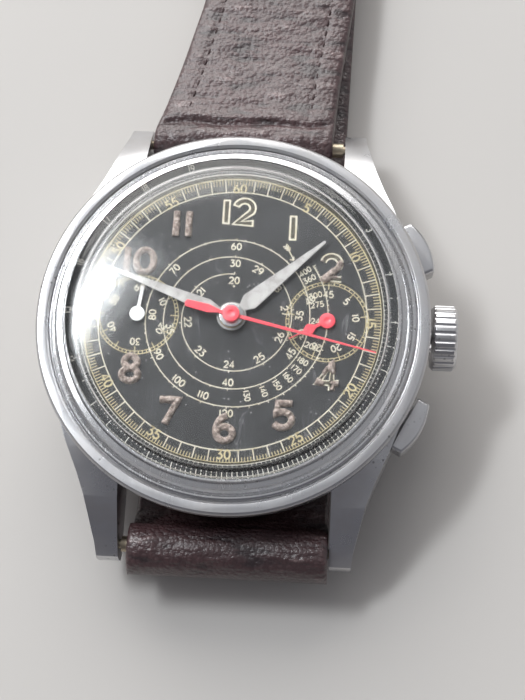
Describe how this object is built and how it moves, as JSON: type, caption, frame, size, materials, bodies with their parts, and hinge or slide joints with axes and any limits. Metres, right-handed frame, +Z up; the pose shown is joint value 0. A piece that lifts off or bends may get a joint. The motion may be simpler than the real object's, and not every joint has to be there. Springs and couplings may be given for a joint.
{
  "type": "chronograph wristwatch",
  "caption": "Round steel chronograph wristwatch with black dial, domed crystal, fluted crown, rectangular pushers and a brown leather strap with pin buckle.",
  "frame": {"origin": "on the resting surface, under the centre of the dial", "axes": "+Z up through the dial, +Y towards 12 o'clock and along the strap, +X towards the crown"},
  "size_m": [0.04, 0.1321, 0.0156],
  "materials": {
    "case_steel": "worn satin steel with fine scratches",
    "bezel_steel": "polished, scratched",
    "spring_bar_steel": "dull",
    "crystal_acrylic": "clear domed acrylic, lightly scuffed",
    "gasket_rubber": "matt",
    "dial_black": "matt black lacquer, aged",
    "hand_steel": "grey, tarnished",
    "hand_red": "gloss red lacquer",
    "hand_white": "white lacquer",
    "movement_plate": "frosted nickel plating",
    "gear_brass": "gilt",
    "polished_steel": "polished",
    "spring_steel": "blued",
    "strap_leather": "grained dark brown, worn",
    "buckle_steel": "polished, worn"
  },
  "bodies": {
    "case": {"mid_case": "case_steel", "bezel": "bezel_steel", "crystal": "crystal_acrylic", "case_back": "case_steel", "case_back_gasket": "gasket_rubber", "crown_tube": "case_steel", "pusher_tubes": "case_steel", "spring_bars": "spring_bar_steel", "dial": "dial_black", "main_plate": "movement_plate", "barrel_bridge": "movement_plate", "train_bridge": "movement_plate", "balance_cock": "movement_plate", "chronograph_bridge": "movement_plate", "bridge_screws": "polished_steel", "movement_ring": "movement_plate", "click": "polished_steel"},
    "minute_work": {"centre_wheel": "gear_brass", "cannon_pinion": "polished_steel", "minute_hand": "hand_steel"},
    "hour_work": {"hour_wheel": "gear_brass", "hour_hand": "hand_steel"},
    "minute_wheel": {"minute_wheel": "gear_brass"},
    "third_wheel": {"third_wheel": "gear_brass"},
    "small_seconds": {"fourth_wheel": "gear_brass", "small_seconds_hand": "hand_white"},
    "escape_wheel": {"escape_wheel": "polished_steel"},
    "barrel": {"barrel": "gear_brass", "mainspring": "spring_steel"},
    "barrel_arbor": {"barrel_arbor": "polished_steel", "ratchet_wheel": "polished_steel"},
    "crown_wheel": {"crown_wheel": "polished_steel"},
    "pallet_fork": {"pallet_fork": "polished_steel"},
    "balance": {"balance_wheel": "gear_brass", "hairspring": "spring_steel"},
    "chronograph_runner": {"chronograph_runner": "gear_brass", "chronograph_hand": "hand_red"},
    "minute_recorder": {"recorder_wheel": "gear_brass", "recorder_hand": "hand_red"},
    "recorder_intermediate": {"recorder_intermediate": "gear_brass"},
    "coupling_lever": {"coupling_lever": "polished_steel"},
    "coupling_wheel": {"coupling_wheel": "gear_brass"},
    "column_wheel": {"column_wheel": "polished_steel"},
    "operating_lever": {"operating_lever": "polished_steel"},
    "hammer": {"hammer": "polished_steel"},
    "winding_pinion": {"winding_pinion": "polished_steel"},
    "crown_and_stem": {"crown": "case_steel", "stem": "polished_steel"},
    "sliding_pinion": {"sliding_pinion": "polished_steel"},
    "setting_lever": {"setting_lever": "polished_steel"},
    "start_pusher": {"start_pusher": "case_steel"},
    "reset_pusher": {"reset_pusher": "case_steel"},
    "lower_strap": {"strap_lower": "strap_leather"},
    "upper_strap": {"strap_upper": "strap_leather", "fixed_keeper": "strap_leather"},
    "free_keeper": {"free_keeper": "strap_leather"},
    "buckle": {"buckle_frame": "buckle_steel", "buckle_bar": "buckle_steel"},
    "buckle_tongue": {"buckle_tongue": "buckle_steel"}
  },
  "joints": [
    {"name": "minute_turn", "type": "hinge", "parent": "case", "child": "minute_work", "pos_m": [0, 0, 0.008], "axis": [0, 0, 1], "continuous": true},
    {"name": "hour_turn", "type": "hinge", "parent": "case", "child": "hour_work", "pos_m": [0, 0, 0.008], "axis": [0, 0, 1], "continuous": true},
    {"name": "minute_wheel_turn", "type": "hinge", "parent": "case", "child": "minute_wheel", "pos_m": [-0.00226, -0.00082, 0.008], "axis": [0, 0, 1], "continuous": true},
    {"name": "third_turn", "type": "hinge", "parent": "case", "child": "third_wheel", "pos_m": [-0.00486, -0.00235, 0.008], "axis": [0, 0, 1], "continuous": true},
    {"name": "small_seconds_turn", "type": "hinge", "parent": "case", "child": "small_seconds", "pos_m": [-0.0089, 0, 0.008], "axis": [0, 0, 1], "continuous": true},
    {"name": "escape_turn", "type": "hinge", "parent": "case", "child": "escape_wheel", "pos_m": [-0.01086, 0.00369, 0.008], "axis": [0, 0, 1], "continuous": true},
    {"name": "barrel_turn", "type": "hinge", "parent": "case", "child": "barrel", "pos_m": [0.00376, 0.00448, 0.008], "axis": [0, 0, 1], "continuous": true},
    {"name": "balance_swing", "type": "hinge", "parent": "case", "child": "balance", "pos_m": [-0.0064, 0.0088, 0.008], "axis": [0, 0, 1], "range_deg": [-150, 150]},
    {"name": "fork_rock", "type": "hinge", "parent": "case", "child": "pallet_fork", "pos_m": [-0.0091, 0.00571, 0.008], "axis": [0, 0, 1], "range_deg": [-5, 5]},
    {"name": "chronograph_turn", "type": "hinge", "parent": "case", "child": "chronograph_runner", "pos_m": [0, 0, 0.008], "axis": [0, 0, 1], "continuous": true},
    {"name": "minute_recorder_turn", "type": "hinge", "parent": "case", "child": "minute_recorder", "pos_m": [0.0089, 0, 0.008], "axis": [0, 0, 1], "continuous": true},
    {"name": "recorder_intermediate_turn", "type": "hinge", "parent": "case", "child": "recorder_intermediate", "pos_m": [0.00513, 0.0026, 0.008], "axis": [0, 0, 1], "continuous": true},
    {"name": "coupling_swing", "type": "hinge", "parent": "case", "child": "coupling_lever", "pos_m": [-0.0123, -0.0029, 0.008], "axis": [0, 0, 1], "range_deg": [-1.2, 0]},
    {"name": "coupling_wheel_turn", "type": "hinge", "parent": "coupling_lever", "child": "coupling_wheel", "pos_m": [-0.00494, 0.00177, 0.008], "axis": [0, 0, 1], "continuous": true},
    {"name": "column_wheel_turn", "type": "hinge", "parent": "case", "child": "column_wheel", "pos_m": [0.0046, 0.0084, 0.008], "axis": [0, 0, 1], "continuous": true},
    {"name": "start_press", "type": "slide", "parent": "case", "child": "start_pusher", "axis": [-0.8988, -0.4384, 0], "range_m": [0, 0.0008], "stiffness_N_per_m": 600},
    {"name": "operating_lever_swing", "type": "hinge", "parent": "case", "child": "operating_lever", "pos_m": [0.0084, 0.0107, 0.008], "axis": [0, 0, 1], "range_deg": [-9, 0]},
    {"name": "reset_press", "type": "slide", "parent": "case", "child": "reset_pusher", "axis": [-0.8829, 0.4695, 0], "range_m": [0, 0.0008], "stiffness_N_per_m": 600},
    {"name": "hammer_swing", "type": "hinge", "parent": "case", "child": "hammer", "pos_m": [0.0035, -0.0085, 0.008], "axis": [0, 0, 1], "range_deg": [0, 10]},
    {"name": "crown_turn", "type": "hinge", "parent": "case", "child": "winding_pinion", "pos_m": [0.01235, 0, 0.0081], "axis": [1, 0, 0], "continuous": true},
    {"name": "crown_pull", "type": "slide", "parent": "winding_pinion", "child": "crown_and_stem", "axis": [1, 0, 0], "range_m": [0, 0.001]},
    {"name": "sliding_pinion_shift", "type": "slide", "parent": "winding_pinion", "child": "sliding_pinion", "axis": [-1, 0, 0], "range_m": [0, 0.0006]},
    {"name": "crown_wheel_turn", "type": "hinge", "parent": "case", "child": "crown_wheel", "pos_m": [0.01103, 0.0034, 0.008], "axis": [0, 0, 1], "continuous": true},
    {"name": "ratchet_turn", "type": "hinge", "parent": "case", "child": "barrel_arbor", "pos_m": [0.00376, 0.00448, 0.008], "axis": [0, 0, 1], "continuous": true},
    {"name": "setting_lever_swing", "type": "hinge", "parent": "case", "child": "setting_lever", "pos_m": [0.0114, -0.0042, 0.008], "axis": [0, 0, 1], "range_deg": [-12, 0]},
    {"name": "lower_strap_swing", "type": "hinge", "parent": "case", "child": "lower_strap", "pos_m": [0, -0.0208, 0.0049], "axis": [1, 0, 0], "range_deg": [-120, 0]},
    {"name": "upper_strap_swing", "type": "hinge", "parent": "case", "child": "upper_strap", "pos_m": [0, 0.0208, 0.0049], "axis": [1, 0, 0], "range_deg": [0, 80]},
    {"name": "free_keeper_slide", "type": "slide", "parent": "upper_strap", "child": "free_keeper", "axis": [0, 1, 0], "range_m": [-0.004, 0.006]},
    {"name": "buckle_swing", "type": "hinge", "parent": "upper_strap", "child": "buckle", "pos_m": [0.0031, 0.096, 0.0024], "axis": [1, 0, 0], "range_deg": [0, 70]},
    {"name": "tongue_swing", "type": "hinge", "parent": "buckle", "child": "buckle_tongue", "pos_m": [0.0031, 0.096, 0.0024], "axis": [1, 0, 0], "range_deg": [0, 30]}
  ],
  "couplings": [
    {"joint": "hour_turn", "follows": "minute_turn", "ratio": 0.083333},
    {"joint": "minute_wheel_turn", "follows": "minute_turn", "ratio": -0.33333},
    {"joint": "third_turn", "follows": "minute_turn", "ratio": -8},
    {"joint": "small_seconds_turn", "follows": "minute_turn", "ratio": 60},
    {"joint": "escape_turn", "follows": "minute_turn", "ratio": -600},
    {"joint": "barrel_turn", "follows": "minute_turn", "ratio": -0.15385},
    {"joint": "fork_rock", "follows": "balance_swing", "ratio": -0.033333},
    {"joint": "minute_recorder_turn", "follows": "chronograph_turn", "ratio": 0.022222},
    {"joint": "recorder_intermediate_turn", "follows": "chronograph_turn", "ratio": -0.033333},
    {"joint": "operating_lever_swing", "follows": "start_press", "rad_per_m": -175},
    {"joint": "hammer_swing", "follows": "reset_press", "rad_per_m": 172},
    {"joint": "sliding_pinion_shift", "follows": "crown_pull", "ratio": 0.5},
    {"joint": "crown_wheel_turn", "follows": "crown_turn", "ratio": -0.35},
    {"joint": "ratchet_turn", "follows": "crown_turn", "ratio": 0.24138},
    {"joint": "setting_lever_swing", "follows": "crown_pull", "rad_per_m": -190}
  ]
}
